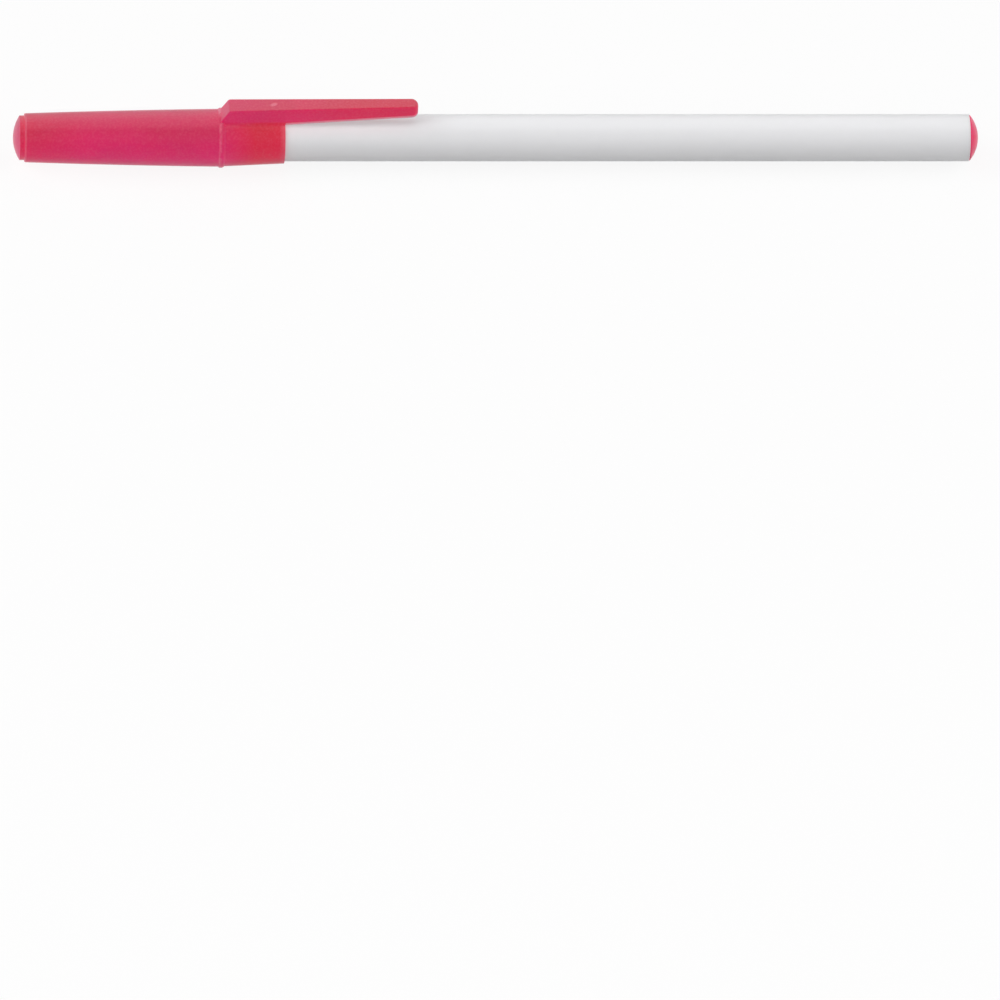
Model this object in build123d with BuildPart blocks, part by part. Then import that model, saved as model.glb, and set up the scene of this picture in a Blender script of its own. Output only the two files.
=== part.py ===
from build123d import *
from math import radians, sqrt, tan
import os

# Stick ballpoint pen with its cap on, in millimetres.
# X runs along the pen, from the cap's domed end to the end plug. Z is up, and the clip is on top.
# The pen's axis is one ring radius above Z = 0, so the cap's ring stands on Z = 0.
# Stations along the pen are measured from the barrel's shoulder, where the cap's mouth stops.

# Barrel
barrel_radius = 3.65
barrel_length = 105.8  # from the shoulder to the rear face
barrel_wall = 1.25
barrel_edge = 0.12  # chamfer on the outer edge of the shoulder and of the rear face
shoulder_step = 0.55  # drop from the barrel to the neck
neck_length = 15.8
neck_root = 0.15  # fill in the corner between the neck and the shoulder
nose_length = 6.0  # taper from the neck to the front face
nose_wall = 0.75
nose_bore_radius = 2.0
nose_bore_length = 8.0

# End plug
plug_dome_height = 1.42
plug_head_inset = 0.14  # the head is this much smaller than the barrel
plug_spigot_length = 6.0
plug_spigot_wall = 0.8
plug_dome_wall = 1.0
air_groove_width = 0.8
air_groove_depth = 0.35
air_notch_depth = 0.2

# Point holder
holder_flange_length = 0.8
holder_flange_inset = 0.05  # the flange is this much smaller than the barrel's front face
holder_cone_step = 0.35  # drop from the flange to the cone
holder_cone_length = 8.2
holder_face_radius = 1.25
holder_shank_length = 7.0
holder_spigot_length = 5.0
holder_spigot_lead = 0.2
ink_hole_radius = 0.6

# Writing tip and ball
collar_radius = 1.15
collar_length = 0.6
collar_step = 0.15  # drop from the collar to the cone
tip_cone_length = 2.08
tip_shank_radius = 0.8
tip_shank_length = 5.5
tip_channel_radius = 0.45
feed_radius = 0.25
feed_length = 0.6  # from the ball's seat to the wider channel
ball_radius = 0.5
ball_clearance = 0.02
lip_reach = 0.18  # how far the lip closes past the ball's middle
lip_wall = 0.08

# Ink tube and ink
tube_bore_radius = 1.0
tube_wall = 0.5
tube_end_gap = 4.6  # from the tube's open end to the end plug
ink_headspace = 10.0  # from the ink's level to the tube's open end
ink_seat_gap = 0.08  # between the ball and the front of the ink
meniscus_depth = 0.3

# Cap
mouth_gap = 0.08  # hairline between the cap's mouth and the barrel's shoulder
cap_clearance = 0.03  # between the grip ribs and the neck
rib_height = 0.29  # at the mouth
rib_width = 0.6
rib_count = 6
rib_length = 12.5
rib_setback = 0.8  # from the mouth to the rib ends
rib_lead_length = 1.2  # sloping lead-in at the rib ends
rib_end_height = 0.06  # left at the foot of the lead-in
grip_bore_length = 14.0  # straight part of the cavity, behind the mouth
cavity_draft = 1.0  # degrees, past the straight part
skirt_wall = 0.55  # at the mouth
skirt_length = 9.15
skirt_flare = 0.42  # the skirt widens this much from the mouth to the ring
mouth_chamfer = 0.15
ring_width = 1.0
ring_chamfer = 0.2
ring_height = 0.24  # above the skirt
ring_front_height = 0.18  # above the cap's body
body_end_drop = 0.68  # from the body's radius at the ring to its radius at the cap's end
end_chamfer = 0.33
tip_clearance = 5.0  # from the ball to the cavity's end
end_wall = 1.38
end_hole_radius = 2.3

# Cap end plug
cap_dome_height = 1.0
cap_head_length = 0.6  # straight rim under the dome
cap_spigot_overhang = 0.3  # past the cavity's end
cap_spigot_wall = 0.8
spigot_lead = 0.25  # chamfer on the plugs' spigots

# Clip
clip_foot_setback = 0.2  # from the ring's front edge to the ramp's foot
clip_ramp_length = 1.13
clip_crest_rise = 1.93  # above the ring
clip_end_rise = 0.51  # the end stands this much higher than the crest
clip_overhang = 20.35  # past the cap's mouth
clip_root_width = 2.97
clip_end_width = 1.95
clip_end_corner = 0.9
clip_crest_round = 0.9
clip_edge_chamfer = 0.15
clip_gap_height = 0.2  # above the skirt, at the mouth
clip_gap_slope = 0.0516  # rise of the clip's underside per millimetre

# Radii that follow from the sizes above
bore_radius = barrel_radius - barrel_wall
neck_radius = barrel_radius - shoulder_step
nose_radius = nose_bore_radius + nose_wall
plug_head_radius = barrel_radius - plug_head_inset
plug_core_radius = bore_radius - plug_spigot_wall
holder_flange_radius = nose_radius - holder_flange_inset
holder_cone_radius = holder_flange_radius - holder_cone_step
socket_radius = ball_radius + ball_clearance
lip_radius = sqrt(socket_radius**2 - lip_reach**2)
tube_radius = tube_bore_radius + tube_wall
rib_radius = neck_radius + cap_clearance
grip_bore_radius = rib_radius + rib_height
mouth_radius = grip_bore_radius + skirt_wall
skirt_root_radius = mouth_radius + skirt_flare
ring_radius = skirt_root_radius + ring_height
body_root_radius = ring_radius - ring_front_height
body_end_radius = body_root_radius - body_end_drop
cap_head_radius = body_end_radius - end_chamfer
cap_core_radius = end_hole_radius - cap_spigot_wall
clip_crest_height = ring_radius + clip_crest_rise
clip_root_height = (grip_bore_radius + mouth_radius) / 2

# Stations forward of the shoulder, as far as the cap's tip
neck_front = -neck_length
nose_face = neck_front - nose_length
cone_rear = nose_face - holder_flange_length
holder_face = cone_rear - holder_cone_length
collar_face = holder_face - collar_length
lip_face = collar_face - tip_cone_length
ball_station = lip_face + lip_reach
seat_rear = ball_station + sqrt(socket_radius**2 - feed_radius**2)
channel_front = seat_rear + feed_length
ink_front = ball_station + ball_radius + ink_seat_gap
tip_rear = holder_face + tip_shank_length
shank_rear = nose_face + holder_shank_length
spigot_rear = shank_rear + holder_spigot_length
bore_front = nose_face + nose_bore_length
mouth = -mouth_gap
ring_rear = mouth - skirt_length
ring_front = ring_rear - ring_width
cavity_end = ball_station - ball_radius - tip_clearance
cap_end = cavity_end - end_wall
grip_bore_end = mouth - grip_bore_length
cap_spigot_end = cavity_end + cap_spigot_overhang
cap_dome_base = cap_end - cap_head_length
cap_tip = cap_dome_base - cap_dome_height
clip_foot = ring_front + clip_foot_setback
clip_crest = clip_foot + clip_ramp_length
clip_end = mouth + clip_overhang
clip_span = clip_end - clip_crest

# Stations behind the shoulder
plug_spigot_front = barrel_length - plug_spigot_length
plug_core_floor = barrel_length + plug_dome_height - plug_dome_wall
plug_tip = barrel_length + plug_dome_height
tube_rear = plug_spigot_front - tube_end_gap
ink_rear = tube_rear - ink_headspace

# Past its straight grip bore the cap's cavity is drafted, so its radius falls towards the cap's end
cavity_end_radius = grip_bore_radius - (grip_bore_end - cavity_end) * tan(radians(cavity_draft))

# Working planes: a long section through the axis, the clip's sloping top, and a cross section at a station
middle_station = (cap_tip + plug_tip) / 2
long_section = Plane(origin=(-middle_station, 0, ring_radius), x_dir=(1, 0, 0), z_dir=(0, -1, 0))
clip_top = Plane(
    origin=long_section.from_local_coords((clip_crest, clip_crest_height, 0)),
    x_dir=(clip_span, 0, clip_end_rise),
    z_dir=(-clip_end_rise, 0, clip_span),
)
pen_axis = Axis(long_section.origin, (1, 0, 0))


def cross_section(station):
    return Plane(origin=long_section.from_local_coords((station, 0, 0)), x_dir=(0, 1, 0), z_dir=(1, 0, 0))


def underside_radius(station):
    return mouth_radius + clip_gap_height + clip_gap_slope * (station - mouth)


# Barrel: a round tube, stepped down to the neck that the cap grips, with a tapered nose
with BuildPart() as barrel:
    with BuildSketch(long_section):
        with BuildLine():
            Polyline(
                (nose_face, nose_bore_radius),
                (nose_face, nose_radius),
                (neck_front, neck_radius),
                (0, neck_radius),
                (0, barrel_radius),
                (barrel_length, barrel_radius),
                (barrel_length, bore_radius),
                (bore_front, bore_radius),
                (bore_front, nose_bore_radius),
                close=True,
            )
        make_face()
    revolve(axis=pen_axis)
    rims = barrel.edges().filter_by(GeomType.CIRCLE)
    outer_rims = rims.group_by(SortBy.RADIUS)[-1]
    neck_corner = rims.group_by(SortBy.RADIUS)[-2].sort_by(Axis.X)[-1]
    chamfer(neck_corner, neck_root)
    chamfer(outer_rims, barrel_edge)
barrel.part.label = "barrel"

# End plug: a domed head and a hollow spigot, with a groove that lets air in as the ink is used
with BuildPart() as end_plug:
    with BuildSketch(long_section):
        with BuildLine():
            TangentArc((plug_tip, 0), (barrel_length, plug_head_radius), tangent=(0, 1))
            Polyline(
                (barrel_length, plug_head_radius),
                (barrel_length, bore_radius),
                (plug_spigot_front + spigot_lead, bore_radius),
                (plug_spigot_front, bore_radius - spigot_lead),
                (plug_spigot_front, plug_core_radius),
                (plug_core_floor, plug_core_radius),
                (plug_core_floor, 0),
                (plug_tip, 0),
            )
        make_face()
    revolve(axis=pen_axis)
    with BuildSketch(cross_section(plug_spigot_front)):
        with Locations((0, -bore_radius)):
            Rectangle(air_groove_width, 2 * air_groove_depth)
    extrude(amount=plug_spigot_length + air_notch_depth, mode=Mode.SUBTRACT)
    with BuildSketch(cross_section(barrel_length)):
        with Locations((0, -bore_radius)):
            Rectangle(air_groove_width, barrel_radius, align=(Align.CENTER, Align.MAX))
    extrude(amount=air_notch_depth, mode=Mode.SUBTRACT)
end_plug.part.label = "end_plug"

# Point holder: a nose cone with a flange on the barrel's front face and a spigot for the ink tube
with BuildPart() as point_holder:
    with BuildSketch(long_section):
        with BuildLine():
            Polyline(
                (holder_face, tip_shank_radius),
                (holder_face, holder_face_radius),
                (cone_rear, holder_cone_radius),
                (cone_rear, holder_flange_radius),
                (nose_face, holder_flange_radius),
                (nose_face, nose_bore_radius),
                (shank_rear, nose_bore_radius),
                (shank_rear, tube_bore_radius),
                (spigot_rear - holder_spigot_lead, tube_bore_radius),
                (spigot_rear, tube_bore_radius - holder_spigot_lead),
                (spigot_rear, ink_hole_radius),
                (tip_rear, ink_hole_radius),
                (tip_rear, tip_shank_radius),
                close=True,
            )
        make_face()
    revolve(axis=pen_axis)
point_holder.part.label = "point_holder"

# Writing tip: turned brass, with the ball's round socket, closed by a rolled lip, and the ink channel
with BuildPart() as writing_tip:
    with BuildSketch(long_section):
        with BuildLine():
            ThreePointArc(
                (lip_face, lip_radius),
                (ball_station, socket_radius),
                (seat_rear, feed_radius),
            )
            Polyline(
                (seat_rear, feed_radius),
                (channel_front, feed_radius),
                (channel_front, tip_channel_radius),
                (tip_rear, tip_channel_radius),
                (tip_rear, tip_shank_radius),
                (holder_face, tip_shank_radius),
                (holder_face, collar_radius),
                (collar_face, collar_radius),
                (collar_face, collar_radius - collar_step),
                (lip_face, lip_radius + lip_wall),
                (lip_face, lip_radius),
            )
        make_face()
    revolve(axis=pen_axis)
writing_tip.part.label = "writing_tip"

# Ball: free to roll in the tip's socket
with BuildPart() as ball:
    with BuildSketch(long_section):
        with BuildLine():
            CenterArc((ball_station, 0), ball_radius, 0, 180)
            Line((ball_station - ball_radius, 0), (ball_station + ball_radius, 0))
        make_face()
    revolve(axis=pen_axis)
ball.part.label = "ball"

# Ink tube: pushed on the holder's spigot, open at the rear
with BuildPart() as ink_tube:
    with BuildSketch(cross_section(shank_rear)):
        Circle(tube_radius)
        Circle(tube_bore_radius, mode=Mode.SUBTRACT)
    extrude(amount=tube_rear - shank_rear)
ink_tube.part.label = "ink_tube"

# Ink: fills the tip's channel, the holder's hole and the tube, with a hollow meniscus at its level
with BuildPart() as ink:
    with BuildSketch(long_section):
        with BuildLine():
            Polyline(
                (ink_rear - meniscus_depth, 0),
                (ink_front, 0),
                (ink_front, feed_radius),
                (channel_front, feed_radius),
                (channel_front, tip_channel_radius),
                (tip_rear, tip_channel_radius),
                (tip_rear, ink_hole_radius),
                (spigot_rear, ink_hole_radius),
                (spigot_rear, tube_bore_radius),
                (ink_rear, tube_bore_radius),
            )
            TangentArc((ink_rear - meniscus_depth, 0), (ink_rear, tube_bore_radius), tangent=(0, 1))
        make_face()
    revolve(axis=pen_axis)
ink.part.label = "ink"

# Clip: a tapered tongue with a round end, cut to a ramp at its foot and arched underneath like the barrel
with BuildPart() as clip:
    with BuildSketch(clip_top):
        with BuildLine():
            Polyline(
                (clip_foot - clip_crest, clip_root_width / 2),
                (clip_span, clip_end_width / 2),
                (clip_span, -clip_end_width / 2),
                (clip_foot - clip_crest, -clip_root_width / 2),
                close=True,
            )
        make_face()
        fillet(vertices().group_by(Axis.X)[-1], clip_end_corner)
    extrude(amount=clip_root_height - clip_crest_height)
    with BuildSketch(long_section):
        with BuildLine():
            Polyline(
                (clip_foot, body_root_radius),
                (clip_crest, clip_crest_height),
                (clip_foot, clip_crest_height),
                close=True,
            )
        make_face()
    extrude(amount=clip_root_width, both=True, mode=Mode.SUBTRACT)
    with BuildSketch(long_section):
        with BuildLine():
            Polyline(
                (mouth, 0),
                (mouth, underside_radius(mouth)),
                (clip_end + clip_end_width, underside_radius(clip_end + clip_end_width)),
                (clip_end + clip_end_width, 0),
                close=True,
            )
        make_face()
    revolve(axis=pen_axis, mode=Mode.SUBTRACT)
    top_face = clip.faces().filter_by(GeomType.PLANE).sort_by(Axis.Z)[-1]
    fillet(top_face.edges().sort_by(Axis.X)[0], clip_crest_round)
    top_face = clip.faces().filter_by(GeomType.PLANE).sort_by(Axis.Z)[-1]
    chamfer(top_face.edges().sort_by(Axis.X)[1:], clip_edge_chamfer)

# Cap: a drafted shell with a ring, a flared skirt, grip ribs inside and the clip on its ring
with BuildPart() as cap:
    with BuildSketch(long_section):
        with BuildLine():
            Polyline(
                (cap_end + end_chamfer, body_end_radius),
                (ring_front, body_root_radius),
                (ring_front + ring_chamfer, ring_radius),
                (ring_rear - ring_chamfer, ring_radius),
                (ring_rear, skirt_root_radius),
                (mouth, mouth_radius),
                (mouth, grip_bore_radius),
                (grip_bore_end, grip_bore_radius),
                (cavity_end, cavity_end_radius),
                (cavity_end, end_hole_radius),
                (cap_end, end_hole_radius),
                (cap_end, cap_head_radius),
                close=True,
            )
        make_face()
    revolve(axis=pen_axis)
    mouth_rim = cap.edges().filter_by(GeomType.CIRCLE).group_by(Axis.X)[-1].sort_by(SortBy.RADIUS)[-1]
    chamfer(mouth_rim, mouth_chamfer)
    with BuildSketch(cross_section(mouth - rib_setback)):
        with PolarLocations(rib_radius, rib_count):
            Rectangle(rib_height + skirt_wall / 2, rib_width, align=(Align.MIN, Align.CENTER))
    extrude(amount=-rib_length)
    with BuildSketch(long_section):
        with BuildLine():
            Polyline(
                (mouth - rib_setback, 0),
                (mouth - rib_setback, grip_bore_radius - rib_end_height),
                (mouth - rib_setback - rib_lead_length, rib_radius),
                (mouth - rib_setback - rib_lead_length, 0),
                close=True,
            )
        make_face()
    revolve(axis=pen_axis, mode=Mode.SUBTRACT)
    add(clip.part)
cap.part.label = "cap"

# Cap end plug: a domed head on a short rim, with a hollow spigot in the cap's end
with BuildPart() as cap_end_plug:
    with BuildSketch(long_section):
        with BuildLine():
            TangentArc((cap_tip, 0), (cap_dome_base, cap_head_radius), tangent=(0, 1))
            Polyline(
                (cap_dome_base, cap_head_radius),
                (cap_end, cap_head_radius),
                (cap_end, end_hole_radius),
                (cap_spigot_end - spigot_lead, end_hole_radius),
                (cap_spigot_end, end_hole_radius - spigot_lead),
                (cap_spigot_end, cap_core_radius),
                (cap_end, cap_core_radius),
                (cap_end, 0),
                (cap_tip, 0),
            )
        make_face()
    revolve(axis=pen_axis)
cap_end_plug.part.label = "cap_end_plug"

os.makedirs("parts", exist_ok=True)
export_step(barrel.part, "parts/barrel.step")
export_step(end_plug.part, "parts/end_plug.step")
export_step(point_holder.part, "parts/point_holder.step")
export_step(writing_tip.part, "parts/writing_tip.step")
export_step(ball.part, "parts/ball.step")
export_step(ink_tube.part, "parts/ink_tube.step")
export_step(ink.part, "parts/ink.step")
export_step(cap.part, "parts/cap.step")
export_step(cap_end_plug.part, "parts/cap_end_plug.step")
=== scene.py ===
import bmesh
import bpy
from math import atan2, cos, pi, radians, sin, sqrt, tan
from mathutils import Matrix, Vector


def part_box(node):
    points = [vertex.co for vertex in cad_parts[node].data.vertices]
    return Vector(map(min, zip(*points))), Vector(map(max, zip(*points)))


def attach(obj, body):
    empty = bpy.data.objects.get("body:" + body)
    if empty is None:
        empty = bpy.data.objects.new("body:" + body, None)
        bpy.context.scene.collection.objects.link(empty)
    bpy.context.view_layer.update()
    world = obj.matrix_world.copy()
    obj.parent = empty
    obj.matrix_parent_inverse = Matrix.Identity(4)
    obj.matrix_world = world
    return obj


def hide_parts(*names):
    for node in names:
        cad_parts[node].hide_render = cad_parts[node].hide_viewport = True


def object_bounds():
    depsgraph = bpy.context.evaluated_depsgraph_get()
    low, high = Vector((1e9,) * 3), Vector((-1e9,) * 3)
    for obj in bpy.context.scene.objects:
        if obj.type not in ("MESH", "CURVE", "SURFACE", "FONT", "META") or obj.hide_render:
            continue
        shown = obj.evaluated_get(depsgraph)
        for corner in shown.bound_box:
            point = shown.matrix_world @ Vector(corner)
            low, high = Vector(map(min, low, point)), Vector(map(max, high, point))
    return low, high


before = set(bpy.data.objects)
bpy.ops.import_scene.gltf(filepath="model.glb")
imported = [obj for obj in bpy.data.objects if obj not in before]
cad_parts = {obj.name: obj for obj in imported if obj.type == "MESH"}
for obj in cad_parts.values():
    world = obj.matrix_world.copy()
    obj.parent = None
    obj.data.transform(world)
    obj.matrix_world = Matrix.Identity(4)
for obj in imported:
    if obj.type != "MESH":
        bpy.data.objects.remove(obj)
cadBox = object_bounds()
mm = 0.001
scene = bpy.context.scene
scene.view_settings.view_transform = "Standard"
print("frame loaded, nodes:", sorted(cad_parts))


# sRGB hex to the linear colour that shaders take
def linear(hexColour):
    channels = [int(hexColour[i:i + 2], 16) / 255 for i in (1, 3, 5)]
    return [c / 12.92 if c <= 0.04045 else ((c + 0.055) / 1.055) ** 2.4 for c in channels] + [1.0]


# a node with its settings: inputs take a value or another node's output, the rest are attributes
def addNode(tree, kind, inputs=None, **attributes):
    node = tree.nodes.new(kind)
    for name, value in attributes.items():
        setattr(node, name, value)
    for name, value in (inputs or {}).items():
        if isinstance(value, bpy.types.NodeSocket):
            tree.links.new(value, node.inputs[name])
        else:
            node.inputs[name].default_value = value
    return node


def newMaterial(name):
    material = bpy.data.materials.new(name)
    material.use_nodes = True
    material.node_tree.nodes.clear()
    return material, material.node_tree


# pattern scale for features of a given size in millimetres
def perSize(size):
    return 1 / (size * mm)


# from here on sizes are in millimetres: stations along the pen from the barrel's shoulder, and heights above
# its axis
barrelLow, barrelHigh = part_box("barrel")
capLow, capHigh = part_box("cap")
axisHeight = (barrelLow.z + barrelHigh.z) / 2 / mm
barrelLength = 105.8
shoulderPlace = barrelHigh.x / mm - barrelLength


def place(station, across=0, up=0):
    return Vector((shoulderPlace + station, across, axisHeight + up)) * mm


def stationOf(x):
    return x / mm - shoulderPlace


# sizes that the cap's shape and its material share
ringRadius = min((capHigh.y - capLow.y) / 2, axisHeight * mm - capLow.z) / mm
ringFront = -10.23
capMouth = -0.03
capEnd = stationOf(capLow.x)
domeHeight = 1.0
domeTip = stationOf(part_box("cap_end_plug")[0].x)
domeBase = domeTip + domeHeight  # where the cap's dome meets its short rim
clipEnd = stationOf(capHigh.x) + 0.1  # a touch longer than the solid
underMouth = 3.93  # radius of the clip's arched underside at the mouth
underEnd = 5.10  # and at the clip's end

# Red injection-moulded polypropylene: a translucent, waxy red with a satin skin. Surfaces turned down are
# painted a brighter red, as painted light for the light that spreads inside the wall, and the clip's
# underside has painted shade. Pigment drifts with the flow and speckles, and painted highlights make the
# dome, the ramp and some edges paler.
redPlastic, tree = newMaterial("redPolypropyleneMoulded")
redLook = {
    "deep": "#CF0550",
    "bright": "#FC0878",
    "warmTint": "#FFFF90",
    "undersideShadeTint": "#A8A8A8",
    "pale": "#F8A4B8",
    "driftSize": 11,
    "glintBreakupSize": 1.6,
    "peelSize": 0.9,
    "speckleSize": 0.35,
    "driftSpread": (-0.12, 0.1),  # how far the drift takes the bright red down and up
    "plugWarmth": 0.6,  # the end plug's share of the warm tint
    "gatePlace": (-1.84, 0.03, 6.5),
    "gateSlant": 30,
    "gateSize": (0.7, 0.42, 2.0),
    "ringEdge": 0.22,  # from the ring's front to the edge with a painted highlight
    "endEdge": 0.27,  # and from the cap's end
    "freeClipStart": capMouth + 0.05,
    "endPlugStart": clipEnd + 1,  # anywhere between the clip and the end plug
}
where = addNode(tree, "ShaderNodeTexCoord").outputs["Object"]
along = addNode(tree, "ShaderNodeSeparateXYZ", {"Vector": where}).outputs["X"]
normal = addNode(tree, "ShaderNodeNewGeometry").outputs["Normal"]
facing = addNode(tree, "ShaderNodeSeparateXYZ", {"Vector": normal}).outputs
drift = addNode(tree, "ShaderNodeTexNoise", {
    "Vector": where, "Scale": perSize(redLook["driftSize"]), "Detail": 1.5, "Roughness": 0.5}).outputs["Fac"]
# patchy noise for the painted highlight on the ring's edge
glintBreakup = addNode(tree, "ShaderNodeTexNoise", {
    "Vector": where, "Scale": perSize(redLook["glintBreakupSize"]), "Detail": 3.0}).outputs["Fac"]
peel = addNode(tree, "ShaderNodeTexNoise", {
    "Vector": where, "Scale": perSize(redLook["peelSize"]), "Detail": 1.0}).outputs["Fac"]
speckle = addNode(tree, "ShaderNodeTexNoise", {
    "Vector": where, "Scale": perSize(redLook["speckleSize"]), "Detail": 2.0}).outputs["Fac"]
# how far a point is from the pen's axis, and how far above the clip's arched underside
offAxis = addNode(tree, "ShaderNodeVectorMath", {0: where, 1: place(0)}, operation="SUBTRACT").outputs[0]
acrossAxis = addNode(tree, "ShaderNodeVectorMath", {0: offAxis, 1: (0, 1, 1)},
                     operation="MULTIPLY").outputs[0]
axisGap = addNode(tree, "ShaderNodeVectorMath", {0: acrossAxis}, operation="LENGTH").outputs["Value"]
underArch = addNode(tree, "ShaderNodeMapRange", {
    "Value": along, "From Min": place(capMouth).x, "From Max": place(clipEnd).x,
    "To Min": underMouth * mm, "To Max": underEnd * mm}).outputs["Result"]
aboveArch = addNode(tree, "ShaderNodeMath", {0: axisGap, 1: underArch}, operation="SUBTRACT").outputs[0]
# whether it lies past the dome, past the mouth or past the clip, where the end plug is
past = {}
for name, station in (("dome", domeBase), ("mouth", redLook["freeClipStart"]),
                      ("clip", redLook["endPlugStart"])):
    past[name] = addNode(tree, "ShaderNodeMath", {0: along, 1: place(station).x},
                         operation="GREATER_THAN").outputs[0]
freeClip = addNode(tree, "ShaderNodeMath", {0: past["mouth"], 1: past["clip"]},
                   operation="SUBTRACT").outputs[0]
# how far along the pen it is from the mouth and from two edges with painted highlights
gap = {}
for name, station in (("mouth", capMouth), ("ring", ringFront + redLook["ringEdge"]),
                      ("end", capEnd + redLook["endEdge"])):
    offset = addNode(tree, "ShaderNodeMath", {0: along, 1: place(station).x}, operation="SUBTRACT").outputs[0]
    gap[name] = addNode(tree, "ShaderNodeMath", {0: offset}, operation="ABSOLUTE").outputs[0]
# and how far from the middle of a faint slanted oval on the clip's top: a painted glint by the mould's gate
gateTurn = (0, 0, radians(redLook["gateSlant"]))
gateOval = addNode(tree, "ShaderNodeMapping", {
    "Vector": where, "Location": place(*redLook["gatePlace"]), "Rotation": gateTurn,
    "Scale": [size * mm for size in redLook["gateSize"]]}, vector_type="TEXTURE").outputs["Vector"]
gateGap = addNode(tree, "ShaderNodeVectorMath", {0: gateOval}, operation="LENGTH").outputs["Value"]
# each effect: what it goes by, where that makes it full, where it is gone, and its strength
effects = {
    "low": (facing["Z"], -0.2, 0.95, 1.0),  # painted light: surfaces turned down are painted a brighter red
    "underside": (aboveArch, 0.03 * mm, 0.08 * mm, 1.0),  # painted shade on the clip's underside, which dims its red bounce
    "warmSkirt": (along, place(ringFront + 5.5).x, place(ringFront + 0.5).x, 0.8),  # less blue, cooled last
    "warmClip": (along, place(12.0).x, place(-9.0).x, 0.58),
    "warmEnd": (along, place(capEnd).x, place(capEnd + 12).x, 0.4),
    "shell": (axisGap, 4.35 * mm, 4.7 * mm, 1.0),  # the cap's wall, without the clip
    "skirt": (axisGap, 4.02 * mm, 4.08 * mm, 1.0),  # the wall near the mouth
    "overRing": (axisGap, (ringRadius + 0.25) * mm, (ringRadius + 0.05) * mm, 1.0),  # the ramp
    "thinMouth": (gap["mouth"], 0.1 * mm, 0.9 * mm, 0.2),  # painted light: the thin mouth is paler where light comes through
    "glintPatches": (glintBreakup, 0.62, 0.38, 0.38),  # patches of the painted highlight on the ring's edge
    # painted highlights along the ring's front edge and the cap's end edge
    "ringEdge": (gap["ring"], 0.12 * mm, 0.3 * mm, 1.0),
    "endEdge": (gap["end"], 0.1 * mm, 0.2 * mm, 0.17),
    "clipEdge": (aboveArch, 0.2 * mm, 0.5 * mm, 0.9),  # painted reflection of the white barrel on the clip's lower edge
    # a painted glint on the clip's top
    "gate": (gateGap, 0.55, 1.05, 0.3),
    "dome": (past["dome"], 0.0, 1.0, 0.13),  # painted sheen: dome and ramp, facing the cap's end, are painted paler
    "ramp": (facing["X"], -0.6, -0.3, 0.13),
    "speckles": (speckle, 0.72, 0.42, 0.065),
}
amount = {}
for name, (measure, fullAt, goneAt, strength) in effects.items():
    amount[name] = addNode(tree, "ShaderNodeMapRange", {
        "Value": measure, "From Min": fullAt, "From Max": goneAt,
        "To Min": strength, "To Max": 0.0}).outputs["Result"]
# some effects hold only where another one does, or on one stretch of the pen
for name, limit in (("underside", freeClip), ("clipEdge", freeClip), ("warmSkirt", amount["shell"]),
                    ("warmEnd", past["dome"]), ("thinMouth", amount["skirt"]), ("ringEdge", amount["glintPatches"]),
                    ("ramp", amount["overRing"])):
    amount[name] = addNode(tree, "ShaderNodeMath", {0: amount[name], 1: limit},
                           operation="MULTIPLY").outputs[0]
# the bright red is painted light on surfaces turned down and drifts into the deep one; the end plug, from
# another mould, is bright all over
driftLow, driftHigh = redLook["driftSpread"]
drifted = addNode(tree, "ShaderNodeMapRange", {
    "Value": drift, "From Min": 0.35, "From Max": 0.65,
    "To Min": driftLow, "To Max": driftHigh}).outputs["Result"]
paintedGlowDrifted = addNode(tree, "ShaderNodeMath", {0: amount["low"], 1: drifted}, operation="ADD").outputs[0]
capShare = addNode(tree, "ShaderNodeMath", {0: paintedGlowDrifted, 1: amount["underside"]}, operation="SUBTRACT",
                   use_clamp=True).outputs[0]
share = addNode(tree, "ShaderNodeMath", {0: capShare, 1: past["clip"]}, operation="MAXIMUM").outputs[0]
flowAndPaintedGlow = addNode(tree, "ShaderNodeMix", {
    "Factor": share, "A": linear(redLook["deep"]), "B": linear(redLook["bright"])},
    data_type="RGBA").outputs["Result"]
warmRear = addNode(tree, "ShaderNodeMath", {0: amount["warmSkirt"], 1: amount["warmClip"]},
                   operation="MAXIMUM").outputs[0]
plugShare = addNode(tree, "ShaderNodeMapRange", {
    "Value": past["clip"], "To Min": 1.0, "To Max": redLook["plugWarmth"]}).outputs["Result"]
warmCap = addNode(tree, "ShaderNodeMath", {0: warmRear, 1: plugShare}, operation="MULTIPLY").outputs[0]
warmth = addNode(tree, "ShaderNodeMath", {0: warmCap, 1: amount["warmEnd"]}, operation="MAXIMUM").outputs[0]
warmed = addNode(tree, "ShaderNodeMix", {"Factor": warmth, "A": flowAndPaintedGlow, "B": linear(redLook["warmTint"])},
                 data_type="RGBA", blend_type="MULTIPLY").outputs["Result"]
# painted shade darkens the clip's underside
undersideShaded = addNode(tree, "ShaderNodeMix", {
    "Factor": amount["underside"], "A": warmed, "B": linear(redLook["undersideShadeTint"])},
    data_type="RGBA", blend_type="MULTIPLY").outputs["Result"]
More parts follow.
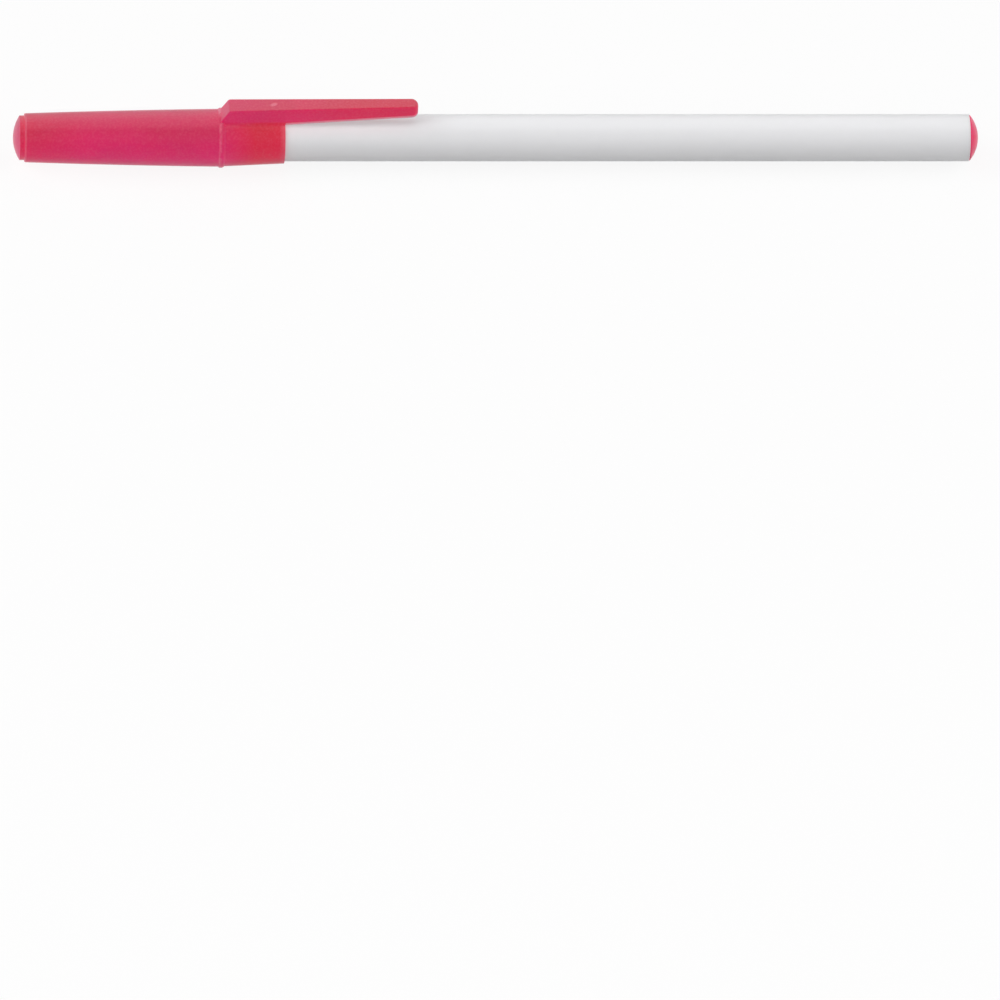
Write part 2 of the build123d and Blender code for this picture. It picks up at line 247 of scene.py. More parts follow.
# of the painted highlights the strongest one counts, and the speckles add to it
# the painted reflection on the clip's lower edge stays off the underside
clipEdgeReflection = addNode(tree, "ShaderNodeMath", {0: amount["clipEdge"], 1: amount["underside"]},
                   operation="SUBTRACT", use_clamp=True).outputs[0]
pale = clipEdgeReflection
for name in ("thinMouth", "ringEdge", "endEdge", "gate", "dome", "ramp"):
    pale = addNode(tree, "ShaderNodeMath", {0: pale, 1: amount[name]}, operation="MAXIMUM").outputs[0]
paler = addNode(tree, "ShaderNodeMath", {0: pale, 1: amount["speckles"]}, operation="ADD",
                use_clamp=True).outputs[0]
colour = addNode(tree, "ShaderNodeMix", {"Factor": paler, "A": undersideShaded, "B": linear(redLook["pale"])},
                 data_type="RGBA").outputs["Result"]
gloss = addNode(tree, "ShaderNodeMapRange", {
    "Value": drift, "To Min": 0.28, "To Max": 0.38}).outputs["Result"]
bump = addNode(tree, "ShaderNodeBump", {
    "Height": peel, "Strength": 0.16, "Distance": 0.02 * mm}).outputs["Normal"]
shader = addNode(tree, "ShaderNodeBsdfPrincipled", {
    "Base Color": colour, "Roughness": gloss, "IOR": 1.49, "Subsurface Weight": 0.4,
    "Subsurface Radius": (0.6, 0.15, 0.2), "Subsurface Scale": 1.0 * mm, "Sheen Weight": 0.1,
    "Sheen Roughness": 0.45, "Normal": bump})
addNode(tree, "ShaderNodeOutputMaterial", {"Surface": shader.outputs["BSDF"]})

# White injection-moulded polystyrene: nearly opaque, bright and neutral, with a smooth satin skin from a
# polished mould
whitePlastic, tree = newMaterial("whitePolystyreneMoulded")
where = addNode(tree, "ShaderNodeTexCoord").outputs["Object"]
drift = addNode(tree, "ShaderNodeTexNoise", {
    "Vector": where, "Scale": perSize(16), "Detail": 2.0}).outputs["Fac"]
colour = addNode(tree, "ShaderNodeMix", {"Factor": drift, "A": linear("#ECECEE"), "B": linear("#F0F0F2")},
                 data_type="RGBA").outputs["Result"]
gloss = addNode(tree, "ShaderNodeMapRange", {
    "Value": drift, "To Min": 0.30, "To Max": 0.38}).outputs["Result"]
peel = addNode(tree, "ShaderNodeTexNoise", {
    "Vector": where, "Scale": perSize(1.4), "Detail": 1.0}).outputs["Fac"]
bump = addNode(tree, "ShaderNodeBump", {
    "Height": peel, "Strength": 0.15, "Distance": 0.02 * mm}).outputs["Normal"]
shader = addNode(tree, "ShaderNodeBsdfPrincipled", {
    "Base Color": colour, "Roughness": gloss, "IOR": 1.59, "Subsurface Weight": 0.5,
    "Subsurface Radius": (1.0, 1.0, 1.0), "Subsurface Scale": 1.2 * mm, "Normal": bump})
addNode(tree, "ShaderNodeOutputMaterial", {"Surface": shader.outputs["BSDF"]})

# Turned brass: bright yellow metal with fine rings from the lathe tool, drawn far coarser than the real feed
# of about 0.02 mm so that they show
turnedBrass, tree = newMaterial("brassTurned")
ringSpacing = 0.754
wavePeriod = 2 * pi / 20  # of a wave texture at scale 1
where = addNode(tree, "ShaderNodeTexCoord").outputs["Object"]
rings = addNode(tree, "ShaderNodeTexWave", {
    "Vector": where, "Scale": perSize(ringSpacing) * wavePeriod, "Distortion": 0.6, "Detail": 2.0},
    wave_type="BANDS", bands_direction="X").outputs["Fac"]
stain = addNode(tree, "ShaderNodeTexNoise", {
    "Vector": where, "Scale": perSize(1.2), "Detail": 3.0}).outputs["Fac"]
colour = addNode(tree, "ShaderNodeMix", {"Factor": stain, "A": linear("#D9BC78"), "B": linear("#C7A35A")},
                 data_type="RGBA").outputs["Result"]
gloss = addNode(tree, "ShaderNodeMapRange", {
    "Value": rings, "To Min": 0.20, "To Max": 0.34}).outputs["Result"]
bump = addNode(tree, "ShaderNodeBump", {
    "Height": rings, "Strength": 0.3, "Distance": 0.01 * mm}).outputs["Normal"]
shader = addNode(tree, "ShaderNodeBsdfPrincipled", {
    "Base Color": colour, "Metallic": 1.0, "Roughness": gloss, "Normal": bump})
addNode(tree, "ShaderNodeOutputMaterial", {"Surface": shader.outputs["BSDF"]})

# Lapped tungsten carbide: dark steel-grey metal, mirror-like, with a faint grain
lappedCarbide, tree = newMaterial("tungstenCarbideLapped")
where = addNode(tree, "ShaderNodeTexCoord").outputs["Object"]
grain = addNode(tree, "ShaderNodeTexNoise", {
    "Vector": where, "Scale": perSize(0.08), "Detail": 3.0}).outputs["Fac"]
colour = addNode(tree, "ShaderNodeMix", {"Factor": grain, "A": linear("#8E8F93"), "B": linear("#A5A6AA")},
                 data_type="RGBA").outputs["Result"]
gloss = addNode(tree, "ShaderNodeMapRange", {
    "Value": grain, "To Min": 0.10, "To Max": 0.20}).outputs["Result"]
shader = addNode(tree, "ShaderNodeBsdfPrincipled", {
    "Base Color": colour, "Metallic": 1.0, "Roughness": gloss})
addNode(tree, "ShaderNodeOutputMaterial", {"Surface": shader.outputs["BSDF"]})

# Extruded natural polypropylene: milky and half clear, with faint lines along the tube from the die
milkyTube, tree = newMaterial("polypropyleneExtruded")
where = addNode(tree, "ShaderNodeTexCoord").outputs["Object"]
stretched = addNode(tree, "ShaderNodeMapping", {"Vector": where, "Scale": (0.02, 1.0, 1.0)}).outputs["Vector"]
lines = addNode(tree, "ShaderNodeTexNoise", {"Vector": stretched, "Scale": perSize(0.4)}).outputs["Fac"]
colour = addNode(tree, "ShaderNodeMix", {"Factor": lines, "A": linear("#E9E8E2"), "B": linear("#F3F2EE")},
                 data_type="RGBA").outputs["Result"]
shader = addNode(tree, "ShaderNodeBsdfPrincipled", {
    "Base Color": colour, "Roughness": 0.38, "IOR": 1.49, "Transmission Weight": 0.5})
addNode(tree, "ShaderNodeOutputMaterial", {"Surface": shader.outputs["BSDF"]})

# Red ink paste: deep, wet red with slow streaks where it has crept along the tube
redInk, tree = newMaterial("inkPasteWet")
where = addNode(tree, "ShaderNodeTexCoord").outputs["Object"]
streaks = addNode(tree, "ShaderNodeTexNoise", {
    "Vector": where, "Scale": perSize(3.0), "Detail": 3.0}).outputs["Fac"]
colour = addNode(tree, "ShaderNodeMix", {"Factor": streaks, "A": linear("#8A0618"), "B": linear("#A50A22")},
                 data_type="RGBA").outputs["Result"]
shader = addNode(tree, "ShaderNodeBsdfPrincipled", {"Base Color": colour, "Roughness": 0.12, "IOR": 1.48})
addNode(tree, "ShaderNodeOutputMaterial", {"Surface": shader.outputs["BSDF"]})
print("materials made:", len(bpy.data.materials))


# an outline's corners as points: a third number rounds the corner, and holds the flats beside it for smooth
# shading
def roundCorners(corners, steps=6):
    points = []
    for i, corner in enumerate(corners):
        here = Vector(corner[:2])
        if len(corner) < 3:
            points.append(here)
            continue
        toLast = Vector(corners[i - 1][:2]) - here
        toNext = Vector(corners[(i + 1) % len(corners)][:2]) - here
        halfAngle = toLast.angle(toNext) / 2
        cut = corner[2] / tan(halfAngle)
        centre = here + (toLast.normalized() + toNext.normalized()).normalized() * corner[2] / sin(halfAngle)
        first = here + toLast.normalized() * cut - centre
        last = here + toNext.normalized() * cut - centre
        start = atan2(first.y, first.x)
        sweep = (atan2(last.y, last.x) - start + pi) % (2 * pi) - pi
        points.append(centre + first + toLast.normalized() * min(cut, (toLast.length - cut) / 3))
        for k in range(steps + 1):
            angle = start + sweep * k / steps
            points.append(centre + Vector((cos(angle), sin(angle))) * corner[2])
        points.append(centre + last + toNext.normalized() * min(cut, (toNext.length - cut) / 3))
    return points


# a dome's points from its tip on the axis to its rim, on a round arc
def domePoints(tip, rim, radius, steps=20):
    height = abs(rim - tip)
    sphere = (radius ** 2 + height ** 2) / (2 * height)
    side = 1 if rim > tip else -1
    widest = atan2(radius, sphere - height)
    return [(tip + side * sphere * (1 - cos(widest * k / steps)), sphere * sin(widest * k / steps))
            for k in range(steps + 1)]


# a closed skin from an outline of (station, radius) points turned about the pen's axis
def lathe(outline, segments=144):
    skin = bmesh.new()
    rings = []
    for station, radius in outline:
        count = segments if radius > 1e-6 else 1  # one point where the outline meets the axis
        angles = [2 * pi * k / segments for k in range(count)]
        rings.append([skin.verts.new(place(station, radius * sin(a), radius * cos(a))) for a in angles])
    for one, two in zip(rings, rings[1:] + rings[:1]):
        if len(one) == 1 and len(two) == 1:
            continue
        for k in range(segments):
            loop = [one[k % len(one)], one[(k + 1) % len(one)], two[(k + 1) % len(two)], two[k % len(two)]]
            skin.faces.new(list(dict.fromkeys(loop)))
    return skin


# a closed skin from rows of points, each row a closed loop of the same count
def skinRows(rows):
    skin = bmesh.new()
    loops = [[skin.verts.new(place(*point)) for point in row] for row in rows]
    for one, two in zip(loops, loops[1:]):
        for k in range(len(one)):
            after = (k + 1) % len(one)
            skin.faces.new((one[k], one[after], two[after], two[k]))
    skin.faces.new(loops[0][::-1])
    skin.faces.new(loops[-1])
    return skin


def meshObject(name, skin):
    bmesh.ops.recalc_face_normals(skin, faces=skin.faces)
    mesh = bpy.data.meshes.new(name)
    skin.to_mesh(mesh)
    skin.free()
    piece = bpy.data.objects.new(name, mesh)
    scene.collection.objects.link(piece)
    return piece


# adds or cuts another closed shape, which is used up
def combine(piece, other, operation):
    modifier = piece.modifiers.new("combine", "BOOLEAN")
    modifier.operation = operation
    modifier.solver = "EXACT"
    modifier.object = other
    bpy.context.view_layer.update()
    shaped = piece.evaluated_get(bpy.context.evaluated_depsgraph_get())
    piece.data = bpy.data.meshes.new_from_object(shaped)
    piece.modifiers.clear()
    bpy.data.objects.remove(other)


sharpAngle = radians(28)  # edges that turn by more stay crisp


def finishPiece(piece, material, body, slot, *nodes):
    piece.data.materials.clear()
    piece.data.materials.append(material)
    piece.data.polygons.foreach_set("use_smooth", [True] * len(piece.data.polygons))
    piece.data.set_sharp_from_angle(angle=sharpAngle)
    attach(piece, body)
    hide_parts(*nodes)
    print("piece", piece.name, len(piece.data.polygons), "faces")


# barrel: a plain white tube, stepped down to the neck under the cap
barrel = {
    "radius": (barrelHigh.y - barrelLow.y) / 2 / mm,
    "shoulderRound": 0.04,
    "endRound": 0.14,
    "boreRadius": 2.4,
    "boreRound": 0.06,
    "neckRadius": 3.1,
    "neckLength": 15.8,
    "neckFillet": 0.15,
    "neckBend": 4.0,
    "noseFace": stationOf(barrelLow.x),
    "noseRadius": 2.75,
    "noseRound": 0.2,
    "noseBore": 2.0,
    "noseBoreLength": 8.0,
}
boreFront = barrel["noseFace"] + barrel["noseBoreLength"]
barrelPiece = meshObject("barrelTube", lathe(roundCorners([
    (barrel["noseFace"], barrel["noseBore"], barrel["boreRound"]),
    (barrel["noseFace"], barrel["noseRadius"], barrel["noseRound"]),
    (-barrel["neckLength"], barrel["neckRadius"], barrel["neckBend"]),
    (0, barrel["neckRadius"], barrel["neckFillet"]),
    (0, barrel["radius"], barrel["shoulderRound"]),
    (barrelLength, barrel["radius"], barrel["endRound"]),
    (barrelLength, barrel["boreRadius"], barrel["boreRound"]),
    (boreFront, barrel["boreRadius"]),
    (boreFront, barrel["noseBore"]),
])))
finishPiece(barrelPiece, whitePlastic, "pen", "barrel_plastic", "barrel")

# end plug: a low dome on the barrel's rear face, its hollow spigot in the bore, and an air groove underneath
endPlug = {
    "tip": stationOf(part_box("end_plug")[1].x),
    "headRadius": 3.51,
    "rimRound": 0.16,
    "spigotLength": 6.0,
    "spigotWall": 0.8,
    "domeWall": 1.0,
    "lead": 0.25,
    "grooveWidth": 0.8,
    "grooveDepth": 0.35,
    "grooveRunout": 0.1,
    "notchDepth": 0.2,
}
plugRim = barrelLength + endPlug["rimRound"]
spigotFront = barrelLength - endPlug["spigotLength"]
coreRadius = barrel["boreRadius"] - endPlug["spigotWall"]
endPlugPiece = meshObject("endPlugDome", lathe(
    domePoints(endPlug["tip"], plugRim, endPlug["headRadius"])
    + roundCorners([
        (plugRim, endPlug["headRadius"]),
        (barrelLength, endPlug["headRadius"]),
        (barrelLength, barrel["boreRadius"]),
        (spigotFront + endPlug["lead"], barrel["boreRadius"]),
        (spigotFront, barrel["boreRadius"] - endPlug["lead"]),
        (spigotFront, coreRadius),
        (endPlug["tip"] - endPlug["domeWall"], coreRadius),
        (endPlug["tip"] - endPlug["domeWall"], 0),
    ])[1:]))
# the air groove runs along the spigot and out under the head
grooveHalf = endPlug["grooveWidth"] / 2
grooveFloor = barrel["boreRadius"] - endPlug["grooveDepth"]
grooveCorners = [
    (-grooveHalf, -grooveFloor),
    (grooveHalf, -grooveFloor),
    (grooveHalf, -barrel["radius"]),
    (-grooveHalf, -barrel["radius"]),
]
grooveEnds = (spigotFront - endPlug["grooveRunout"], barrelLength + endPlug["notchDepth"])
groove = [[(station, *corner) for corner in grooveCorners] for station in grooveEnds]
combine(endPlugPiece, meshObject("groove", skinRows(groove)), "DIFFERENCE")
finishPiece(endPlugPiece, redPlastic, "pen", "cap_plastic", "end_plug")

# cap: a drafted shell, a little full at mid-length, with a ring, a flared skirt, ribs inside and the clip
cap = {
    "end": capEnd,
    "endRadius": 3.77,
    "endStep": 0.14,
    "endStepFillet": 0.04,
    "endRound": 0.16,
    "endHole": 2.3,
    "endHoleRound": 0.05,
    "headRadius": 3.44,
    "bodyRoot": 4.45,
    "bodySteps": 24,
    "swell": 0.08,
    "ringFront": ringFront,
    "ringRear": -9.23,
    "ringChamfer": 0.2,
    "ringFlank": 0.36,
    "ringFrontFillet": 0.05,
    "ringFrontRound": 0.12,
    "ringRearRound": 0.2,
    "ringRearFillet": 0.14,
    "skirtRoot": 4.39,
    "mouth": capMouth,
    "mouthRadius": 3.97,
    "mouthRound": 0.08,
    "gripBore": 3.42,
    "gripBoreLength": 14.0,
    "cavityEnd": -38.8,
    "cavityDraft": 1.0,
    "ribCount": 6,
    "ribRadius": 3.13,
    "ribWidth": 0.6,
    "ribSetback": 0.8,
    "ribLength": 12.5,
    "ribLead": 1.2,
    "ribEndHeight": 0.06,
}
bodyStart = cap["end"] + cap["endStep"]
bodyLength = cap["ringFront"] - bodyStart
gripEnd = cap["mouth"] - cap["gripBoreLength"]
cavityEndRadius = cap["gripBore"] - (gripEnd - cap["cavityEnd"]) * tan(radians(cap["cavityDraft"]))


# the body's outline, fullest at mid-length
def bodyPoint(share):
    straight = cap["endRadius"] + (cap["bodyRoot"] - cap["endRadius"]) * share
    return bodyStart + bodyLength * share, straight + cap["swell"] * 4 * share * (1 - share)


capOutline = [
    (cap["end"], cap["endHole"], cap["endHoleRound"]),
    (cap["end"], cap["headRadius"]),
    (bodyStart, cap["headRadius"], cap["endStepFillet"]),
    (bodyStart, cap["endRadius"], cap["endRound"]),
] + [bodyPoint(k / cap["bodySteps"]) for k in range(1, cap["bodySteps"])] + [
    (cap["ringFront"], cap["bodyRoot"], cap["ringFrontFillet"]),
    (cap["ringFront"] + cap["ringChamfer"], ringRadius, cap["ringFrontRound"]),
    (cap["ringRear"] - cap["ringFlank"], ringRadius, cap["ringRearRound"]),
    (cap["ringRear"], cap["skirtRoot"], cap["ringRearFillet"]),
    (cap["mouth"], cap["mouthRadius"], cap["mouthRound"]),
    (cap["mouth"], cap["gripBore"], cap["mouthRound"]),
    (gripEnd, cap["gripBore"]),
    (cap["cavityEnd"], cavityEndRadius),
    (cap["cavityEnd"], cap["endHole"]),
]
capPiece = meshObject("capShell", lathe(roundCorners(capOutline)))

# grip ribs on the cavity wall, with a sloping lead-in at the mouth
ribStart = cap["mouth"] - cap["ribSetback"]
ribBase = (cap["gripBore"] + cap["mouthRadius"]) / 2
ribOutline = [
    (ribStart, ribBase),
    (ribStart, cap["gripBore"] - cap["ribEndHeight"]),
    (ribStart - cap["ribLead"], cap["ribRadius"]),
    (ribStart - cap["ribLength"], cap["ribRadius"]),
    (ribStart - cap["ribLength"], ribBase),
]
for k in range(cap["ribCount"]):
    ribAngle = 2 * pi * k / cap["ribCount"] + pi / 2
    outwards = (sin(ribAngle), cos(ribAngle))
    sides = []
    for half in (-cap["ribWidth"] / 2, cap["ribWidth"] / 2):
        sides.append([(s, r * outwards[0] + half * outwards[1], r * outwards[1] - half * outwards[0])
                      for s, r in ribOutline])
    combine(capPiece, meshObject("rib", skinRows(sides)), "UNION")

# clip: a tapered tongue on a steep ramp from the ring, with a round end and an arched underside
clip = {
    "foot": cap["ringFront"] + cap["ringChamfer"],
    "footHeight": cap["bodyRoot"],
    "crest": -8.7,
    "end": clipEnd,
    "endHeight": capHigh.z / mm - axisHeight,
    "endRise": 0.51,
    "crestRound": 0.5,
    "rootWidth": 3.06,
    "endWidth": 2.06,
    "endCorner": 0.9,
    "endTaper": 1.0,
    "rootHeight": 3.46,
    "topRound": 0.17,
    "topHold": 1.5,  # the flat beside the top edge's rounding starts at this share of it
    "endTopRound": 0.6,
    "lowerRound": 0.1,
    "skirtFillet": 0.4,
    "filletShare": 0.8,  # of the side's height, at most
    "ringFillet": 0.02,
    "footSink": 0.01,  # how deep the fillet's foot is in the skirt
    "mouthStep": 0.04,  # from the last row on the skirt to the first one of the free clip
    "leastStep": 0.02,  # between points where a side has little height
    "leastHalf": 0.01,  # half width that is left in the middle of the end
    "rampSteps": 4,
    "crestSteps": 12,
    "rootSteps": 8,
    "tongueSteps": 20,
    "cornerSteps": 12,
    "edgeSteps": 6,
    "footPoints": 6,
    "archSteps": 8,
}
freeStart = cap["mouth"] - clip["mouthStep"] / 2
crestHeight = clip["endHeight"] - clip["endRise"]
rampAngle = atan2(crestHeight - clip["footHeight"], clip["crest"] - clip["foot"])
topAngle = atan2(clip["endRise"], clip["end"] - clip["crest"])
tangent = clip["crestRound"] * tan((rampAngle - topAngle) / 2)
arcStart = clip["crest"] - tangent * cos(rampAngle)
arcEnd = clip["crest"] + tangent * cos(topAngle)
arcMiddle = arcStart + clip["crestRound"] * sin(rampAngle)
arcHeight = crestHeight - tangent * sin(rampAngle) - clip["crestRound"] * cos(rampAngle)


def clipTop(station):
    if station < arcStart:
        return clip["footHeight"] + (station - clip["foot"]) * tan(rampAngle)
    if station < arcEnd:
        return arcHeight + sqrt(clip["crestRound"] ** 2 - (station - arcMiddle) ** 2)
    return crestHeight + (station - clip["crest"]) * tan(topAngle)


def clipUnder(station, across):
    if station < freeStart:
        return clip["rootHeight"]
    share = (station - cap["mouth"]) / (clip["end"] - cap["mouth"])
    return sqrt((underMouth + (underEnd - underMouth) * share) ** 2 - across ** 2)


def clipSide(station):
    share = (station - clip["foot"]) / (clip["end"] - clip["foot"])
    return (clip["rootWidth"] + (clip["endWidth"] - clip["rootWidth"]) * share) / 2


# stations from one to another, without the last
def spaced(start, end, steps):
    return [start + (end - start) * k / steps for k in range(steps)]


# the clip's plan: stations with the half width there, the direction inwards and the top edge's rounding
cornerStart = clip["end"] - clip["endTaper"]
rootEnd = cap["mouth"] - clip["mouthStep"]
stops = spaced(clip["foot"], arcStart, clip["rampSteps"])
stops += spaced(arcStart, arcEnd, clip["crestSteps"])
stops += spaced(arcEnd, rootEnd, clip["rootSteps"])
stops += [rootEnd]
stops += spaced(cap["mouth"], cornerStart, clip["tongueSteps"])
plan = [(s, clipSide(s), (0.0, -1.0), clip["topRound"]) for s in stops]
for k in range(clip["cornerSteps"] + 1):
    angle = radians(90) * k / clip["cornerSteps"]
    s = cornerStart + clip["endTaper"] * sin(angle)
    edge = clip["topRound"] + (clip["endTopRound"] - clip["topRound"]) * sin(angle) ** 2
    plan.append((s, clipSide(s) - clip["endCorner"] * (1 - cos(angle)), (-sin(angle), -cos(angle)), edge))


# the ring's and the skirt's own surface beside the clip
def skirtHeight(station, across):
    radius = ringRadius
    if station > cap["ringRear"] - cap["ringChamfer"]:
        share = max(0.0, (station - cap["ringRear"]) / (cap["mouth"] - cap["ringRear"]))
        radius = cap["skirtRoot"] + (cap["mouthRadius"] - cap["skirtRoot"]) * share
    return sqrt(radius ** 2 - across ** 2)


# a side's lowest points: the free clip's rounded lower edge, or a fillet on the skirt with its foot in the
# wall
def clipFoot(station, half, inwards):
    foot = []
    if station > freeStart:
        for k in range(clip["footPoints"]):
            angle = radians(90) * (1 - k / (clip["footPoints"] - 1))
            inset = clip["lowerRound"] * (1 - cos(angle))
            s, y = station + inwards[0] * inset, half + inwards[1] * inset
            foot.append((s, y, clipUnder(s, y) + clip["lowerRound"] * (1 - sin(angle))))
        return foot
    ceiling = clipTop(station) - clip["topRound"]
    room = max(0.0, (ceiling - skirtHeight(station, half)) * clip["filletShare"])
    fillet = clip["ringFillet"] if station < cap["ringRear"] else min(clip["skirtFillet"], room)
    foot.append((station, half + fillet, clip["rootHeight"]))
    for k in range(clip["footPoints"] - 1):
        angle = radians(90) * k / (clip["footPoints"] - 2)
        y = half + fillet * (1 - sin(angle))
        z = skirtHeight(station, y) + fillet * (1 - cos(angle)) - clip["footSink"]
        foot.append((station, y, min(z, ceiling - clip["leastStep"] * (clip["footPoints"] - 1 - k))))
    return foot


# one side's points from the lower edge up over the rounded top edge
def clipChain(station, half, inwards, edge):
    chain = clipFoot(station, half, inwards)
    for k in range(clip["edgeSteps"] + 1):
        angle = radians(90) * k / clip["edgeSteps"]
        inset = edge * (1 - cos(angle))
        s, y = station + inwards[0] * inset, max(half + inwards[1] * inset, clip["leastHalf"] * 2)
        chain.append((s, y, clipTop(s) - edge * (1 - sin(angle))))
    inset = edge * clip["topHold"]
    s, y = station + inwards[0] * inset, max(half + inwards[1] * inset, clip["leastHalf"])
    chain.append((s, y, clipTop(s)))
    return chain


rows = []
for station, half, inwards, edge in plan:
    far = clipChain(station, half, inwards, edge)
    near = [(s, -y, z) for s, y, z in far]
    s, y = far[0][:2]
    acrossArch = [y * (2 * k / clip["archSteps"] - 1) for k in range(1, clip["archSteps"])]
    rows.append([(s, across, clipUnder(s, across)) for across in acrossArch] + far + near[::-1])
combine(capPiece, meshObject("clip", skinRows(rows)), "UNION")
finishPiece(capPiece, redPlastic, "cap", "cap_plastic", "cap")

# cap end plug: a low dome on a short rim, its hollow spigot in the cap's end
capPlug = {
    "tip": domeTip,
    "spigotEnd": -38.5,
    "spigotWall": 0.8,
    "lead": 0.25,
}
capCore = cap["endHole"] - capPlug["spigotWall"]
capPlugPiece = meshObject("capEndDome", lathe(
    domePoints(capPlug["tip"], domeBase, cap["headRadius"])
    + roundCorners([
        (domeBase, cap["headRadius"]),
        (cap["end"], cap["headRadius"]),
        (cap["end"], cap["endHole"]),
        (capPlug["spigotEnd"] - capPlug["lead"], cap["endHole"]),
        (capPlug["spigotEnd"], cap["endHole"] - capPlug["lead"]),
        (capPlug["spigotEnd"], capCore),
        (cap["end"], capCore),
        (cap["end"], 0),
    ])[1:]))
finishPiece(capPlugPiece, redPlastic, "cap", "cap_plastic", "cap_end_plug")

# point holder: a nose cone with a flange on the barrel's front face and a spigot for the ink tube
holder = {
    "flangeLength": 0.8,
    "flangeRadius": 2.7,
    "flangeFrontRound": 0.12,
    "flangeRearRound": 0.08,
    "coneRadius": 2.35,
    "coneFillet": 0.15,
    "face": stationOf(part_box("point_holder")[0].x),
    "faceRadius": 1.25,
    "faceRound": 0.12,
    "shankLength": 7.0,
    "spigotLength": 5.0,
    "spigotRadius": 1.0,
    "spigotRound": 0.2,
    "inkHole": 0.6,
    "tipHole": 0.8,
    "tipHoleLength": 5.5,
}
flangeFront = barrel["noseFace"] - holder["flangeLength"]
shankRear = barrel["noseFace"] + holder["shankLength"]
spigotRear = shankRear + holder["spigotLength"]
tipHoleRear = holder["face"] + holder["tipHoleLength"]
holderPiece = meshObject("pointHolder", lathe(roundCorners([
    (holder["face"], holder["tipHole"]),
    (holder["face"], holder["faceRadius"], holder["faceRound"]),
    (flangeFront, holder["coneRadius"], holder["coneFillet"]),
    (flangeFront, holder["flangeRadius"], holder["flangeFrontRound"]),
    (barrel["noseFace"], holder["flangeRadius"], holder["flangeRearRound"]),
    (barrel["noseFace"], barrel["noseBore"]),
    (shankRear, barrel["noseBore"]),
    (shankRear, holder["spigotRadius"]),
    (spigotRear, holder["spigotRadius"], holder["spigotRound"]),
    (spigotRear, holder["inkHole"]),
    (tipHoleRear, holder["inkHole"]),
    (tipHoleRear, holder["tipHole"]),
])))
finishPiece(holderPiece, redPlastic, "pen", "holder_plastic", "point_holder")

# writing tip: turned brass with a collar, a cone and a rolled lip that holds the ball
tipLow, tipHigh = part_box("writing_tip")
ballLow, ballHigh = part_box("ball")
ball = {
    "middle": stationOf((ballLow.x + ballHigh.x) / 2),
    "radius": (ballHigh.x - ballLow.x) / 2 / mm,
    "steps": 32,
    "segments": 64,
}
tip = {
    "lip": stationOf(tipLow.x),
    "lipWall": 0.08,
    "lipLength": 0.15,
    "lipSpread": 0.03,
    "lipRound": 0.2,
    "rear": stationOf(tipHigh.x),
    "collarRadius": 1.15,
    "collarLength": 0.6,
    "collarFrontRound": 0.1,
    "collarRearRound": 0.08,
    "coneRadius": 1.0,
    "coneFillet": 0.05,
    "shankRadius": 0.8,
    "shankRound": 0.08,
    "channelRadius": 0.45,
    "feedRadius": 0.25,
    "feedLength": 0.6,
    "ballClearance": 0.02,
    "socketSteps": 16,
    "segments": 96,
}
socket = ball["radius"] + tip["ballClearance"]
lipRadius = sqrt(socket ** 2 - (ball["middle"] - tip["lip"]) ** 2)
lipOutside = lipRadius + tip["lipWall"]
seatRear = ball["middle"] + sqrt(socket ** 2 - tip["feedRadius"] ** 2)
feedRear = seatRear + tip["feedLength"]
collarFront = holder["face"] - tip["collarLength"]
lipAngle = atan2(lipRadius, tip["lip"] - ball["middle"])
seatAngle = atan2(tip["feedRadius"], seatRear - ball["middle"])
socketPoints = []
for k in range(tip["socketSteps"] + 1):
    angle = lipAngle + (seatAngle - lipAngle) * k / tip["socketSteps"]
    socketPoints.append((ball["middle"] + socket * cos(angle), socket * sin(angle)))
tipPiece = meshObject("writingTip", lathe(socketPoints + roundCorners([
    (seatRear, tip["feedRadius"]),
    (feedRear, tip["feedRadius"]),
    (feedRear, tip["channelRadius"]),
    (tip["rear"], tip["channelRadius"]),
    (tip["rear"], tip["shankRadius"], tip["shankRound"]),
    (holder["face"], tip["shankRadius"]),
    (holder["face"], tip["collarRadius"], tip["collarRearRound"]),
    (collarFront, tip["collarRadius"], tip["collarFrontRound"]),
    (collarFront, tip["coneRadius"], tip["coneFillet"]),
    (tip["lip"] + tip["lipLength"], lipOutside + tip["lipSpread"], tip["lipRound"]),
    (tip["lip"], lipRadius + tip["lipWall"] / 2),
])[1:], tip["segments"]))
finishPiece(tipPiece, turnedBrass, "pen", "tip_brass", "writing_tip")

ballOutline = []
for k in range(ball["steps"] + 1):
    angle = pi * k / ball["steps"]
    ballOutline.append((ball["middle"] - ball["radius"] * cos(angle), ball["radius"] * sin(angle)))
ballPiece = meshObject("tipBall", lathe(ballOutline, ball["segments"]))
finishPiece(ballPiece, lappedCarbide, "ball", "ball_carbide", "ball")

# the ink tube and the ink stay as their CAD solids, out of sight in the barrel
for node, material in (("ink_tube", milkyTube), ("ink", redInk)):
    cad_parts[node].data.materials.clear()
    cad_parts[node].data.materials.append(material)
print("pieces made")

# the photo's view: pen level near the top of the picture, seen from above and a little from the cap's end
view = {
    "elevation": 40.5,
    "turnToCap": 4.0,
    "lens": 600.0,
    "pictureSize": 1000.0,
    "penLengthPx": 964.7,
    "penMiddlePx": (496.32, 137.72),
}
penLine = Vector((1, 0, 0))
penLength = cadBox[1].x - cadBox[0].x
penMiddle = Vector((0, 0, axisHeight * mm))
viewTurn, viewRise = radians(view["turnToCap"]), radians(view["elevation"])
toCamera = Vector((
    -sin(viewTurn), -cos(viewTurn) * cos(viewRise), cos(viewTurn) * sin(viewRise))).normalized()
pictureRight = (penLine - toCamera * toCamera.x).normalized()
pictureUp = toCamera.cross(pictureRight)
pixel = penLength * cos(viewTurn) / view["penLengthPx"]
offRight = (view["pictureSize"] / 2 - view["penMiddlePx"][0]) * pixel
offDown = (view["pictureSize"] / 2 - view["penMiddlePx"][1]) * pixel
